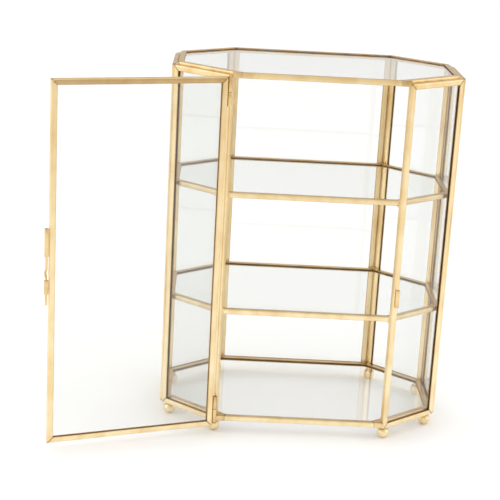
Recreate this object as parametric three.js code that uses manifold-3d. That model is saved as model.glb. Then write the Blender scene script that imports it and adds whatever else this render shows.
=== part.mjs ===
// Glass jewelry cabinet with an eight-sided plan, three compartments and a swinging front door.
// Seven walls, the top, the base and two shelves are panes of glass, each edged in its own folded
// brass channel. The channels are soldered together; the wide front side is left open for the door.
//
// Millimetres, +Z up, door on the -Y side. The door is built standing open, as on display. The
// origin is on the table, under the middle of the box round the whole object. Everything is first
// laid out from the centre of the base pane's underside, and the last step moves it to the origin.

import * as THREE from 'three';
import { mergeVertices } from 'three/addons/utils/BufferGeometryUtils.js';
import Module from 'manifold-3d';

const wasm = await Module();
wasm.setup();

// ---- Driving dimensions ----

// Plan of the walls' outer faces: an octagon with two long, two short and four slanting sides.
const PLAN_WIDTH = 204;
const PLAN_DEPTH = 127;
const FRONT_WIDTH = 121;
const END_WIDTH = 57;

// Heights. The top and base are measured against the walls, the shelves from the walls' feet.
const WALL_HEIGHT = 250;
const TOP_STANDS_PROUD = 1.8;
const BASE_IS_RECESSED = 1.2;
const LOWER_SHELF_TOP = 84.2;
const UPPER_SHELF_TOP = 168.5;

// Glass and the folded brass channel that edges every pane.
const GLASS_THICKNESS = 2.0;
const BRASS_THICKNESS = 0.6;
const CHANNEL_LIP = 4.1;
const FIT = 0.3; // gap between pieces that touch or are soldered together
const CHANNEL_THICKNESS = GLASS_THICKNESS + 2 * FIT + 2 * BRASS_THICKNESS;

// Ball feet under the corners, set in from the walls' outer faces.
const FOOT_DIAMETER = 8.6;
const FOOT_FLAT_RADIUS = 1.2;
const FOOT_FROM_STRAIGHT_SIDES = 7.3;
const FOOT_FROM_SLANTING_SIDES = 5.0;

// Door.
const DOOR_OPEN_ANGLE = 159; // degrees from closed
const DOOR_HANGS_BELOW = 1.5; // door's lower edge, below the walls' feet
const DOOR_STOPS_SHORT = 0.8; // door's upper edge, below the walls' tops
const DOOR_HEIGHT = WALL_HEIGHT + DOOR_HANGS_BELOW - DOOR_STOPS_SHORT;

// Hinge knuckles, guide tubes and the catch are cut from one size of brass tube.
const TUBE_RADIUS = 1.5;
const HINGE_PIN_RADIUS = 0.8;
const HINGE_PLAY = 0.18; // round the pin
const KNUCKLE_BORE_RADIUS = HINGE_PIN_RADIUS + HINGE_PLAY;
const HINGE_PIN_HEAD_RADIUS = 1.4;
const HINGE_PIN_HEAD_HEIGHT = 0.7;
const OUTER_KNUCKLE_LENGTH = 10.0;
const INNER_KNUCKLE_LENGTH = 9.4;
const HINGE_END_SETBACK = 1.0; // outer knuckles, from the walls' upper and lower ends
const LOWER_PIN_RECESS = 1.0; // lower pin stops short inside the knuckle's open end

// Sliding bolt on the door's free edge. Heights are measured from the walls' feet.
const BOLT_RADIUS = 0.85;
const BOLT_PLAY = 0.23; // round the wire
const BOLT_BORE_RADIUS = BOLT_RADIUS + BOLT_PLAY;
const CATCH_TOP = 105.5;
const CATCH_LENGTH = 12.5;
const LOWER_GUIDE_LENGTH = 9.5;
const UPPER_GUIDE_LENGTH = 19.0;
const CATCH_FROM_CORNER = 1.0; // along the slanting wall
const GUIDE_SPACING = 16.5; // clear length of wire between the two guides
const BOLT_REACH = 7.6; // length of bolt that stands out below the lower guide
const BOLT_GRIP_HEIGHT = 8.0;
const BOLT_GRIP_PROJECTION = 3.0;
const BOLT_TAIL = 9.0; // length of bolt inside the upper guide

// Roundness of the faceted pieces.
const TUBE_SIDES = 24;
const BOLT_SIDES = 12;
const BOLT_STEPS = 44;
const FOOT_ARC_STEPS = 12;
const FOOT_SIDES = 20;

// Making the solids.
const WELD_DISTANCE = 1e-4; // corners this close become one
const CUT_PAST = 1; // how far a cutting shape runs past what it cuts

// ---- Heights that follow from the sizes above ----

const GLASS_INSET = (CHANNEL_THICKNESS - GLASS_THICKNESS) / 2;
const BASE_UNDERSIDE = -GLASS_INSET;
const WALL_FOOT = BASE_UNDERSIDE - BASE_IS_RECESSED;
const WALL_TOP = WALL_FOOT + WALL_HEIGHT;
const TOP_UNDERSIDE = WALL_TOP + TOP_STANDS_PROUD - CHANNEL_THICKNESS;

// ---- Materials ----

const BRASS = { color: 0xe9cf93, roughness: 0.3, metalness: 1.0 };
const GLASS = { color: 0xdfe6e2, roughness: 0.05, metalness: 0.0, transparent: true, opacity: 0.3 };

const cabinet = new THREE.Group();

function addMesh(parent, name, geometry, finish) {
  const mesh = new THREE.Mesh(geometry, new THREE.MeshStandardMaterial(finish));
  mesh.name = name;
  parent.add(mesh);
  return mesh;
}

// ---- Solids: turning a closed geometry into one that can be cut, and back ----

function toSolid(geometry) {
  const bare = geometry.index ? geometry.toNonIndexed() : geometry.clone();
  bare.deleteAttribute('normal');
  bare.deleteAttribute('uv');
  const merged = mergeVertices(bare, WELD_DISTANCE);
  return new wasm.Manifold(new wasm.Mesh({
    numProp: 3,
    vertProperties: new Float32Array(merged.attributes.position.array),
    triVerts: new Uint32Array(merged.index.array),
  }));
}

function toGeometry(solid) {
  const mesh = solid.getMesh();
  const geometry = new THREE.BufferGeometry();
  geometry.setAttribute('position', new THREE.BufferAttribute(new Float32Array(mesh.vertProperties), 3));
  geometry.setIndex(new THREE.BufferAttribute(new Uint32Array(mesh.triVerts), 1));
  geometry.computeVertexNormals();
  return geometry;
}

// ---- Flat outlines. Each is a list of THREE.Vector2, counter-clockwise. ----

// Moves every side of a convex outline inwards; side i runs from corner i to corner i + 1.
function insetOutline(outline, distanceOfSide) {
  const count = outline.length;
  return outline.map((corner, i) => {
    const before = outline[(i + count - 1) % count];
    const after = outline[(i + 1) % count];
    const dirIn = corner.clone().sub(before).normalize();
    const dirOut = after.clone().sub(corner).normalize();
    const normalIn = new THREE.Vector2(-dirIn.y, dirIn.x);
    const normalOut = new THREE.Vector2(-dirOut.y, dirOut.x);
    const offsetIn = normalIn.dot(corner) + distanceOfSide((i + count - 1) % count);
    const offsetOut = normalOut.dot(corner) + distanceOfSide(i);
    const cross = normalIn.x * normalOut.y - normalIn.y * normalOut.x;
    return new THREE.Vector2(
      (offsetIn * normalOut.y - offsetOut * normalIn.y) / cross,
      (normalIn.x * offsetOut - normalOut.x * offsetIn) / cross,
    );
  });
}

function evenInset(outline, distance) {
  return insetOutline(outline, () => distance);
}

function rectangle(width, height) {
  return [[0, 0], [width, 0], [width, height], [0, height]].map(([x, y]) => new THREE.Vector2(x, y));
}

function slab(outline, low, high) {
  const geometry = new THREE.ExtrudeGeometry(new THREE.Shape(outline), {
    depth: high - low,
    bevelEnabled: false,
  });
  return geometry.translate(0, 0, low);
}

// ---- A pane and its channel. Both lie in the XY plane, from z = 0 to the channel's thickness. ----

function paneGeometry(outline) {
  const edge = evenInset(outline, BRASS_THICKNESS + FIT);
  return slab(edge, GLASS_INSET, GLASS_INSET + GLASS_THICKNESS);
}

// Brass folded to a U round the pane's edge: a plate, less the daylight inside the lips, less the
// groove that the glass sits in. The plate may reach further out than the pane's own outline.
function channelSolid(outline, plateOutline = outline) {
  const body = toSolid(slab(plateOutline, 0, CHANNEL_THICKNESS));
  const daylight = toSolid(
    slab(evenInset(outline, CHANNEL_LIP), -CUT_PAST, CHANNEL_THICKNESS + CUT_PAST),
  );
  const grooveOutline = evenInset(outline, BRASS_THICKNESS);
  const groove = toSolid(slab(grooveOutline, BRASS_THICKNESS, CHANNEL_THICKNESS - BRASS_THICKNESS));
  return body.subtract(daylight).subtract(groove);
}

function addFramedPane(parent, name, outline, plateOutline) {
  addMesh(parent, `${name}_channel`, toGeometry(channelSolid(outline, plateOutline)), BRASS);
  addMesh(parent, `${name}_pane`, paneGeometry(outline), GLASS);
}

// ---- Plan of the cabinet. Corners run counter-clockwise from the front left. ----

const plan = [
  [-FRONT_WIDTH / 2, -PLAN_DEPTH / 2],
  [FRONT_WIDTH / 2, -PLAN_DEPTH / 2],
  [PLAN_WIDTH / 2, -END_WIDTH / 2],
  [PLAN_WIDTH / 2, END_WIDTH / 2],
  [FRONT_WIDTH / 2, PLAN_DEPTH / 2],
  [-FRONT_WIDTH / 2, PLAN_DEPTH / 2],
  [-PLAN_WIDTH / 2, END_WIDTH / 2],
  [-PLAN_WIDTH / 2, -END_WIDTH / 2],
].map(([x, y]) => new THREE.Vector2(x, y));

const SIDE_NAMES = [
  'front', 'front_right', 'right_end', 'back_right', 'back', 'back_left', 'left_end', 'front_left',
];
const CORNER_NAMES = [
  'front_left', 'front_right', 'right_front', 'right_back',
  'back_right', 'back_left', 'left_back', 'left_front',
];
const FRONT = 0;
const isSlanting = (side) => side % 2 === 1;

function outwardNormal(side) {
  const along = plan[(side + 1) % plan.length].clone().sub(plan[side]).normalize();
  return new THREE.Vector2(along.y, -along.x);
}

// Panels inside the walls clear them by the fit. The top and base come flush with the open front.
const levelOutline = insetOutline(plan, (side) => (side === FRONT ? 0 : CHANNEL_THICKNESS + FIT));
const shelfOutline = evenInset(plan, CHANNEL_THICKNESS + FIT);

// The wedge between the open front and a slanting wall's square end, as its front and deep corners.
function wedgeBeforeWall(corner, side, wallRunsFromCorner) {
  const outward = outwardNormal(side);
  const offTheEnd = new THREE.Vector2(outward.y, -outward.x);
  if (!wallRunsFromCorner) offTheEnd.negate();
  const front = plan[corner].clone();
  front.x += FIT / offTheEnd.x;
  const deep = plan[corner].clone()
    .addScaledVector(outward, -(CHANNEL_THICKNESS + FIT))
    .addScaledVector(offTheEnd, FIT);
  return { front, deep };
}

// The top's and base's brass fills both wedges, so that their front rails run from post to post.
const leftWedge = wedgeBeforeWall(FRONT, plan.length - 1, false);
const rightWedge = wedgeBeforeWall(FRONT + 1, FRONT + 1, true);
const levelPlate = [
  leftWedge.front, rightWedge.front, rightWedge.deep, ...levelOutline.slice(2), leftWedge.deep,
];

// ---- Walls: square-edged framed panes whose inner edges meet at the corners ----

function addWall(side) {
  const innerCorners = evenInset(plan, CHANNEL_THICKNESS);
  const outward = outwardNormal(side);
  const freeCorners = [FRONT, (FRONT + 1) % plan.length]; // where no neighbour stands
  const end = (corner, awayFromCorner) => {
    if (freeCorners.includes(corner)) {
      return plan[corner].clone().addScaledVector(outward, -CHANNEL_THICKNESS);
    }
    return innerCorners[corner].clone().addScaledVector(awayFromCorner, FIT / 2);
  };
  const along = new THREE.Vector2(-outward.y, outward.x);
  const start = end(side, along);
  const finish = end((side + 1) % plan.length, along.clone().negate());

  const wall = new THREE.Group();
  const basis = new THREE.Matrix4().makeBasis(
    new THREE.Vector3(along.x, along.y, 0),
    new THREE.Vector3(0, 0, 1),
    new THREE.Vector3(outward.x, outward.y, 0),
  );
  wall.quaternion.setFromRotationMatrix(basis);
  wall.position.set(start.x, start.y, WALL_FOOT);
  addFramedPane(wall, `${SIDE_NAMES[side]}_wall`, rectangle(start.distanceTo(finish), WALL_HEIGHT));
  cabinet.add(wall);
}

for (let side = FRONT + 1; side < plan.length; side += 1) addWall(side);

// ---- Top, base and shelves ----

function addLevel(name, underside, outline, plateOutline) {
  const level = new THREE.Group();
  level.position.z = underside;
  addFramedPane(level, name, outline, plateOutline);
  cabinet.add(level);
}

addLevel('base', BASE_UNDERSIDE, levelOutline, levelPlate);
addLevel('lower_shelf', WALL_FOOT + LOWER_SHELF_TOP - CHANNEL_THICKNESS, shelfOutline);
addLevel('upper_shelf', WALL_FOOT + UPPER_SHELF_TOP - CHANNEL_THICKNESS, shelfOutline);
addLevel('top', TOP_UNDERSIDE, levelOutline, levelPlate);

// ---- Ball feet, ground flat where they stand and where they are soldered on ----

function footGeometry() {
  const radius = FOOT_DIAMETER / 2;
  const flatAngle = Math.asin(FOOT_FLAT_RADIUS / radius);
  const profile = [new THREE.Vector2(0, -radius * Math.cos(flatAngle))];
  for (let step = 0; step <= FOOT_ARC_STEPS; step += 1) {
    const angle = flatAngle + (step / FOOT_ARC_STEPS) * (Math.PI - 2 * flatAngle);
    profile.push(new THREE.Vector2(radius * Math.sin(angle), -radius * Math.cos(angle)));
  }
  profile.push(new THREE.Vector2(0, radius * Math.cos(flatAngle)));
  return new THREE.LatheGeometry(profile, FOOT_SIDES).rotateX(Math.PI / 2);
}

function addFeet() {
  const halfHeight = Math.sqrt((FOOT_DIAMETER / 2) ** 2 - FOOT_FLAT_RADIUS ** 2);
  const corners = insetOutline(plan, (side) => (
    isSlanting(side) ? FOOT_FROM_SLANTING_SIDES : FOOT_FROM_STRAIGHT_SIDES
  ));
  corners.forEach((corner, i) => {
    const foot = addMesh(cabinet, `${CORNER_NAMES[i]}_foot`, footGeometry(), BRASS);
    foot.position.set(corner.x, corner.y, WALL_FOOT - FIT - halfHeight);
  });
}

addFeet();

// ---- Tubes and pins, upright, from z = low to z = high ----

function tubeGeometry(outerRadius, boreRadius, low, high) {
  const profile = [
    [boreRadius, low], [outerRadius, low], [outerRadius, high], [boreRadius, high], [boreRadius, low],
  ].map(([x, y]) => new THREE.Vector2(x, y));
  return new THREE.LatheGeometry(profile, TUBE_SIDES).rotateX(Math.PI / 2);
}

// A wire pin with a flat head at its headEnd and its other end at tipEnd.
function pinGeometry(headEnd, tipEnd) {
  const headInside = headEnd + Math.sign(tipEnd - headEnd) * HINGE_PIN_HEAD_HEIGHT;
  const profile = [
    [0, headEnd], [HINGE_PIN_HEAD_RADIUS, headEnd], [HINGE_PIN_HEAD_RADIUS, headInside],
    [HINGE_PIN_RADIUS, headInside], [HINGE_PIN_RADIUS, tipEnd], [0, tipEnd],
  ].map(([x, y]) => new THREE.Vector2(x, y));
  if (tipEnd < headEnd) profile.reverse();
  return new THREE.LatheGeometry(profile, TUBE_SIDES).rotateX(Math.PI / 2);
}

// ---- Hinge line and bolt line. The hinge tubes stand off the front left corner, square to the
// two sides' mean direction, and the catch stands off the slanting wall beside the front right one.

const STAND_OFF = TUBE_RADIUS + FIT;
const FRONT_RIGHT_SIDE = FRONT + 1;
const FRONT_LEFT_SIDE = plan.length - 1;
const offCorner = outwardNormal(FRONT).add(outwardNormal(FRONT_LEFT_SIDE)).normalize();
const hingeAxis = plan[0].clone().addScaledVector(offCorner, STAND_OFF);
const alongRightWall = plan[2].clone().sub(plan[1]).normalize();
const boltAxis = plan[1].clone()
  .addScaledVector(alongRightWall, CATCH_FROM_CORNER)
  .addScaledVector(outwardNormal(FRONT_RIGHT_SIDE), STAND_OFF);

const UPPER_HINGE_TOP = WALL_TOP - HINGE_END_SETBACK;
const LOWER_HINGE_FOOT = WALL_FOOT + HINGE_END_SETBACK;
const UPPER_KNUCKLE_JOINT = UPPER_HINGE_TOP - OUTER_KNUCKLE_LENGTH;
const LOWER_KNUCKLE_JOINT = LOWER_HINGE_FOOT + OUTER_KNUCKLE_LENGTH;
const UPPER_HINGE_END = UPPER_KNUCKLE_JOINT - FIT - INNER_KNUCKLE_LENGTH;
const LOWER_HINGE_END = LOWER_KNUCKLE_JOINT + FIT + INNER_KNUCKLE_LENGTH;

function addKnuckle(parent, name, low, high) {
  return addMesh(parent, name, tubeGeometry(TUBE_RADIUS, KNUCKLE_BORE_RADIUS, low, high), BRASS);
}

// The outer knuckles and both pins are soldered to the cabinet's front left corner.
function addFixedHingeHalves() {
  const line = new THREE.Group();
  line.position.set(hingeAxis.x, hingeAxis.y, 0);
  addKnuckle(line, 'upper_hinge_wall_knuckle', UPPER_KNUCKLE_JOINT, UPPER_HINGE_TOP);
  addKnuckle(line, 'lower_hinge_wall_knuckle', LOWER_HINGE_FOOT, LOWER_KNUCKLE_JOINT);
  const upperHead = UPPER_HINGE_TOP + FIT + HINGE_PIN_HEAD_HEIGHT;
  const lowerHead = LOWER_HINGE_FOOT - FIT - HINGE_PIN_HEAD_HEIGHT;
  addMesh(line, 'upper_hinge_pin', pinGeometry(upperHead, UPPER_HINGE_END), BRASS);
  addMesh(line, 'lower_hinge_pin', pinGeometry(lowerHead, LOWER_HINGE_END - LOWER_PIN_RECESS), BRASS);
  cabinet.add(line);
}

addFixedHingeHalves();

const catchFoot = WALL_FOOT + CATCH_TOP - CATCH_LENGTH;
const catchTube = addMesh(
  cabinet,
  'bolt_catch_tube',
  tubeGeometry(TUBE_RADIUS, BOLT_BORE_RADIUS, catchFoot, WALL_FOOT + CATCH_TOP),
  BRASS,
);
catchTube.position.set(boltAxis.x, boltAxis.y, 0);

// ---- Door. Built closed in a group on the hinge axis, then the group is swung open. ----

const door = new THREE.Group();
door.position.set(hingeAxis.x, hingeAxis.y, 0);
door.rotation.z = -THREE.MathUtils.degToRad(DOOR_OPEN_ANGLE);
cabinet.add(door);

const DOOR_BACK = -PLAN_DEPTH / 2 - FIT - hingeAxis.y; // the face that meets the cabinet
const DOOR_START = STAND_OFF;
const DOOR_END = boltAxis.x - STAND_OFF - hingeAxis.x;
const DOOR_WIDTH = DOOR_END - DOOR_START;

// One length of the door's channel, cut to 45 degrees at both ends. Side 0 is the bottom one.
function doorMember(channel, outline, side) {
  const start = outline[side];
  const finish = outline[(side + 1) % outline.length];
  const along = finish.clone().sub(start).normalize();
  const inward = new THREE.Vector2(-along.y, along.x);
  const reach = CHANNEL_LIP + CUT_PAST;
  const halfJoint = (FIT / 2) * Math.SQRT2; // set back along the side, for a joint as wide as FIT
  const corner = (point, back, depth) => point.clone()
    .addScaledVector(along, back * (halfJoint + depth))
    .addScaledVector(inward, depth);
  const cutter = [
    corner(start, 1, -CUT_PAST), corner(finish, -1, -CUT_PAST),
    corner(finish, -1, reach), corner(start, 1, reach),
  ];
  return channel.intersect(toSolid(slab(cutter, -CUT_PAST, CHANNEL_THICKNESS + CUT_PAST)));
}

function addDoorLeaf() {
  const leaf = new THREE.Group();
  leaf.rotation.x = Math.PI / 2; // the leaf's outline is drawn in XY, and stands up in the door
  leaf.position.set(DOOR_START, DOOR_BACK, WALL_FOOT - DOOR_HANGS_BELOW);
  const outline = rectangle(DOOR_WIDTH, DOOR_HEIGHT);
  const channel = channelSolid(outline);
  ['door_bottom_rail', 'door_latch_stile', 'door_top_rail', 'door_hinge_stile'].forEach((name, side) => {
    addMesh(leaf, name, toGeometry(doorMember(channel, outline, side)), BRASS);
  });
  addMesh(leaf, 'door_pane', paneGeometry(outline), GLASS);
  door.add(leaf);
}

addDoorLeaf();
addKnuckle(door, 'upper_hinge_door_knuckle', UPPER_HINGE_END, UPPER_KNUCKLE_JOINT - FIT);
addKnuckle(door, 'lower_hinge_door_knuckle', LOWER_KNUCKLE_JOINT + FIT, LOWER_HINGE_END);

// ---- Bolt: two guide tubes on the door's free edge and a bent wire that slides in them ----

const LOWER_GUIDE_FOOT = WALL_FOOT + CATCH_TOP + FIT;
const LOWER_GUIDE_TOP = LOWER_GUIDE_FOOT + LOWER_GUIDE_LENGTH;
const UPPER_GUIDE_FOOT = LOWER_GUIDE_TOP + GUIDE_SPACING;

// The wire's line: straight, with one smooth bulge to push against between the guides.
class BoltLine extends THREE.Curve {
  constructor(low, high, gripLow) {
    super();
    this.low = low;
    this.high = high;
    this.gripLow = gripLow;
  }

  getPoint(t, target = new THREE.Vector3()) {
    const z = this.low + t * (this.high - this.low);
    const share = THREE.MathUtils.clamp((z - this.gripLow) / BOLT_GRIP_HEIGHT, 0, 1);
    const bulge = BOLT_GRIP_PROJECTION * Math.sin(Math.PI * share) ** 2;
    return target.set(0, -bulge, z);
  }
}

function boltGeometry() {
  const section = new THREE.Shape();
  section.absarc(0, 0, BOLT_RADIUS, 0, 2 * Math.PI);
  const line = new BoltLine(
    LOWER_GUIDE_FOOT - BOLT_REACH,
    UPPER_GUIDE_FOOT + BOLT_TAIL,
    LOWER_GUIDE_TOP + FIT,
  );
  return new THREE.ExtrudeGeometry(section, {
    steps: BOLT_STEPS,
    curveSegments: BOLT_SIDES,
    extrudePath: line,
  });
}

function addBolt() {
  const line = new THREE.Group();
  line.position.set(boltAxis.x - hingeAxis.x, boltAxis.y - hingeAxis.y, 0);
  const addGuide = (name, low, length) => addMesh(
    line, name, tubeGeometry(TUBE_RADIUS, BOLT_BORE_RADIUS, low, low + length), BRASS,
  );
  addGuide('bolt_lower_guide', LOWER_GUIDE_FOOT, LOWER_GUIDE_LENGTH);
  addGuide('bolt_upper_guide', UPPER_GUIDE_FOOT, UPPER_GUIDE_LENGTH);
  addMesh(line, 'bolt_wire', boltGeometry(), BRASS);
  door.add(line);
}

addBolt();

// ---- Move the finished object so that it stands on z = 0, centred on the origin ----

function standOnOrigin(object) {
  const box = new THREE.Box3().setFromObject(object, true);
  const centre = box.getCenter(new THREE.Vector3());
  object.position.set(-centre.x, -centre.y, -box.min.z);
}

standOnOrigin(cabinet);

export default cabinet;
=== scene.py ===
# %% [markdown]
# # A glass jewelry box edged in folded brass
# This lesson dresses a finished CAD model. The model already fixes every size and every moving
# part, so each step here reads its places from that model and only makes the surface finer: rounded
# folds, mitres, solder, drawn tube, clear glass and light.

# %% Load the fixed frame
import math

import bmesh
import bpy
from mathutils import Matrix, Vector, geometry, noise


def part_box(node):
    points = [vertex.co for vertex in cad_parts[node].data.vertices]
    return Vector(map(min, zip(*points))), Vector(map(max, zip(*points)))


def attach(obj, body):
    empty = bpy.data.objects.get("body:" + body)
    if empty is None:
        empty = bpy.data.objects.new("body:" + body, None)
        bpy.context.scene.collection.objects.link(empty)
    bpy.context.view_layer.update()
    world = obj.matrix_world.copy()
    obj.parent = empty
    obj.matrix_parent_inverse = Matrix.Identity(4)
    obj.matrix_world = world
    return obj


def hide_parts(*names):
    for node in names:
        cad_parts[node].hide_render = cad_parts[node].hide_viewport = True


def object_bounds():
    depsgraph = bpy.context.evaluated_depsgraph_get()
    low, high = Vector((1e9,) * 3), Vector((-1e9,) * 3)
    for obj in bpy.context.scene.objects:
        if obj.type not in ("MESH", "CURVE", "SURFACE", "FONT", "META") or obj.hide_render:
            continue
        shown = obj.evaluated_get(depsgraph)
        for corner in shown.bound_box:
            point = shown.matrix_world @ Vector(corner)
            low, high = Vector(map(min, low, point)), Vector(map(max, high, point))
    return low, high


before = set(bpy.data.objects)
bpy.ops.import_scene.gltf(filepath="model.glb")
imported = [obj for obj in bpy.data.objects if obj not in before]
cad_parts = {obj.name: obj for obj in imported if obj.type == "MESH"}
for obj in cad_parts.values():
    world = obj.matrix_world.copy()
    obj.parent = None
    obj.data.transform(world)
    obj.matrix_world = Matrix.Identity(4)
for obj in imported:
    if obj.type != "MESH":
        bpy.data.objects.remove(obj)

MM = 0.001
cad_low, cad_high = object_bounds()
print("CAD box, mm:", [round(side / MM, 1) for side in cad_high - cad_low])

# %% [markdown]
# ## The camera
# The box was seen a little from above with a long lens, and the camera was tipped slightly on its
# own axis. A camera's turn can be given as a matrix, but three plain angles are easier to read: the
# direction it faces, how far it looks down, and its roll.

# %% Place the camera
CAMERA_PLACE = Vector((-0.0253, -0.9573, 0.4038))
CAMERA_HEADING = math.radians(1.11)
CAMERA_LOOKS_DOWN = math.radians(16.42)
CAMERA_ROLL = math.radians(3.1)
CAMERA_LENS = 99.7
CAMERA_FILM_WIDTH = 36
CAMERA_SHIFT = (0.0109, 0.0129)


def make_camera():
    data = bpy.data.cameras.new("camera")
    data.sensor_width = CAMERA_FILM_WIDTH
    data.lens = CAMERA_LENS
    data.shift_x, data.shift_y = CAMERA_SHIFT
    camera = bpy.data.objects.new("camera", data)
    level = math.cos(CAMERA_LOOKS_DOWN)
    forward = Vector((
        math.sin(CAMERA_HEADING) * level,
        math.cos(CAMERA_HEADING) * level,
        -math.sin(CAMERA_LOOKS_DOWN),
    ))
    flat_right = forward.cross(Vector((0, 0, 1))).normalized()
    flat_up = flat_right.cross(forward)
    right = flat_right * math.cos(CAMERA_ROLL) + flat_up * math.sin(CAMERA_ROLL)
    turn = Matrix((right, right.cross(forward), -forward)).transposed().to_4x4()
    camera.matrix_world = Matrix.Translation(CAMERA_PLACE) @ turn
    bpy.context.scene.collection.objects.link(camera)
    bpy.context.scene.camera = camera


make_camera()
print("camera distance, mm:", round(CAMERA_PLACE.length / MM))

# %% [markdown]
# ## Finishes
# Real brass is never one colour. Folded strip carries fine lines along its length and brown tarnish
# in patches, and all brass is painted darker towards the top of the box, as painted shade. Each
# finish is a small node tree: one noise drives the colour, and a second, stretched noise gives the
# lines and drives the roughness.
# The channel's lines follow its own UV map, which is laid along each length in metres. The same map
# places painted shade on the lips' edges beside the glass and inside the fold, which are painted
# darker brown.
# Faces that look up are painted darker, as painted shade. A number stored on the mesh browns the
# mitres, and it paints shade on the lips of the door's top rail.

# %% Small helpers for shader trees
NOISE_RANGE = (0.3, 0.7)
RELIEF_STRENGTH = 0.5


def start_material(name):
    material = bpy.data.materials.new(name)
    material.use_nodes = True
    tree = material.node_tree
    return material, tree, tree.nodes["Principled BSDF"]


def stretched_noise(tree, vector, stretch, detail=3.0):
    """Noise read through a Mapping node, so that stretch gives repeats per metre on each axis."""
    mapping = tree.nodes.new("ShaderNodeMapping")
    mapping.inputs["Scale"].default_value = stretch
    tree.links.new(vector, mapping.inputs["Vector"])
    grain = tree.nodes.new("ShaderNodeTexNoise")
    grain.inputs["Scale"].default_value = 1.0
    grain.inputs["Detail"].default_value = detail
    tree.links.new(mapping.outputs["Vector"], grain.inputs["Vector"])
    return grain.outputs["Fac"]


def colour_band(tree, factor, stops):
    ramp = tree.nodes.new("ShaderNodeValToRGB")
    ramp.color_ramp.elements[0].position, ramp.color_ramp.elements[0].color = stops[0]
    ramp.color_ramp.elements[1].position, ramp.color_ramp.elements[1].color = stops[-1]
    for position, colour in stops[1:-1]:
        ramp.color_ramp.elements.new(position).color = colour
    tree.links.new(factor, ramp.inputs["Fac"])
    return ramp.outputs["Color"]


def ramp_over(tree, value, low, high, start=0.0, end=1.0):
    """A number that climbs from start to end while the value climbs from low to high."""
    spread = tree.nodes.new("ShaderNodeMapRange")
    spread.inputs["From Min"].default_value = low
    spread.inputs["From Max"].default_value = high
    spread.inputs["To Min"].default_value = start
    spread.inputs["To Max"].default_value = end
    tree.links.new(value, spread.inputs["Value"])
    return spread.outputs["Result"]


def number_band(tree, noise_value, low, high):
    """Noise stays near its middle, so the range it really has is spread over low to high."""
    return ramp_over(tree, noise_value, *NOISE_RANGE, low, high)


def relief(tree, height, depth, shader):
    bump = tree.nodes.new("ShaderNodeBump")
    bump.inputs["Strength"].default_value = RELIEF_STRENGTH
    bump.inputs["Distance"].default_value = depth
    tree.links.new(height, bump.inputs["Height"])
    tree.links.new(bump.outputs["Normal"], shader.inputs["Normal"])


# %% Brass, solder and glass
PALE_BRASS = (0.95, 0.79, 0.5, 1)
WARM_BRASS = (0.84, 0.63, 0.33, 1)
TARNISH = (0.52, 0.34, 0.15, 1)
# Painted shade: the heights and tint that darken the brass towards the top of the box.
SHADED_TOP_HEIGHTS = (60 * MM, 270 * MM)
SHADED_TOP_TINT = (0.86, 0.8, 0.7, 1)
# Painted shade: the stretches round the fold, at the lip's edge beside the glass and inside the U,
# painted darker.
FOLD_SHADE_STRETCHES = ((1.25 * MM, 0.55 * MM), (11.2 * MM, 11.9 * MM))
FOLD_SHADE_TINT = (0.66, 0.53, 0.38, 1)
# Painted shade: faces that look up are painted darker and greyer.
FACES_UP = (0.35, 0.85)
UPWARD_SHADE_TINT = (0.64, 0.58, 0.5, 1)
# Browns the dark mitre joints, and paints shade on the lips of the door's top rail.
TARNISH_AND_SHADE_TINT = (0.5, 0.38, 0.26, 1)
TONE_STRETCH = (90, 90, 45)
GLASS_IOR = 1.5
SMEAR_STRETCH = (30, 30, 55)
SMEAR_ROUGHNESS = (0.0, 0.018)


def tinted(tree, colour, factor, tint):
    """The colour, multiplied by the tint as far as the factor says."""
    mix = tree.nodes.new("ShaderNodeMix")
    mix.data_type = "RGBA"
    mix.blend_type = "MULTIPLY"
    tree.links.new(factor, mix.inputs["Factor"])
    tree.links.new(colour, mix.inputs["A"])
    mix.inputs["B"].default_value = tint
    return mix.outputs["Result"]


def one_axis(tree, vector, axis):
    apart = tree.nodes.new("ShaderNodeSeparateXYZ")
    tree.links.new(vector, apart.inputs["Vector"])
    return apart.outputs[axis]


def metal(name, colours, roughness, line_stretch, line_depth, lines_follow_uv=False):
    material, tree, shader = start_material(name)
    places = tree.nodes.new("ShaderNodeTexCoord")
    tone = stretched_noise(tree, places.outputs["Object"], TONE_STRETCH)
    colour = colour_band(tree, tone, colours)
    height = one_axis(tree, places.outputs["Object"], "Z")
    # Painted shade: the colour darkens towards the top of the box.
    shaded_top = ramp_over(tree, height, *SHADED_TOP_HEIGHTS)
    colour = tinted(tree, colour, shaded_top, SHADED_TOP_TINT)
    surface = tree.nodes.new("ShaderNodeNewGeometry")
    looks_up = one_axis(tree, surface.outputs["Normal"], "Z")
    # Painted shade: faces that look up are darkened.
    colour = tinted(tree, colour, ramp_over(tree, looks_up, *FACES_UP), UPWARD_SHADE_TINT)
    if lines_follow_uv:
        round_the_fold = one_axis(tree, places.outputs["UV"], "Y")
        # Painted shade at the lip's edge beside the glass and inside the fold.
        for low, high in FOLD_SHADE_STRETCHES:
            fold_shade = ramp_over(tree, round_the_fold, low, high)
            colour = tinted(tree, colour, fold_shade, FOLD_SHADE_TINT)
        # The stored number browns the mitres and paints shade on the door's top rail lips.
        tarnish_and_shade = tree.nodes.new("ShaderNodeAttribute")
        tarnish_and_shade.attribute_name = "mitre_tarnish_and_rail_shade"
        colour = tinted(tree, colour, tarnish_and_shade.outputs["Fac"], TARNISH_AND_SHADE_TINT)
    tree.links.new(colour, shader.inputs["Base Color"])
    vector = places.outputs["UV" if lines_follow_uv else "Object"]
    lines = stretched_noise(tree, vector, line_stretch, detail=2.0)
    tree.links.new(number_band(tree, lines, *roughness), shader.inputs["Roughness"])
    relief(tree, lines, line_depth, shader)
    shader.inputs["Metallic"].default_value = 1.0
    return material


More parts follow.
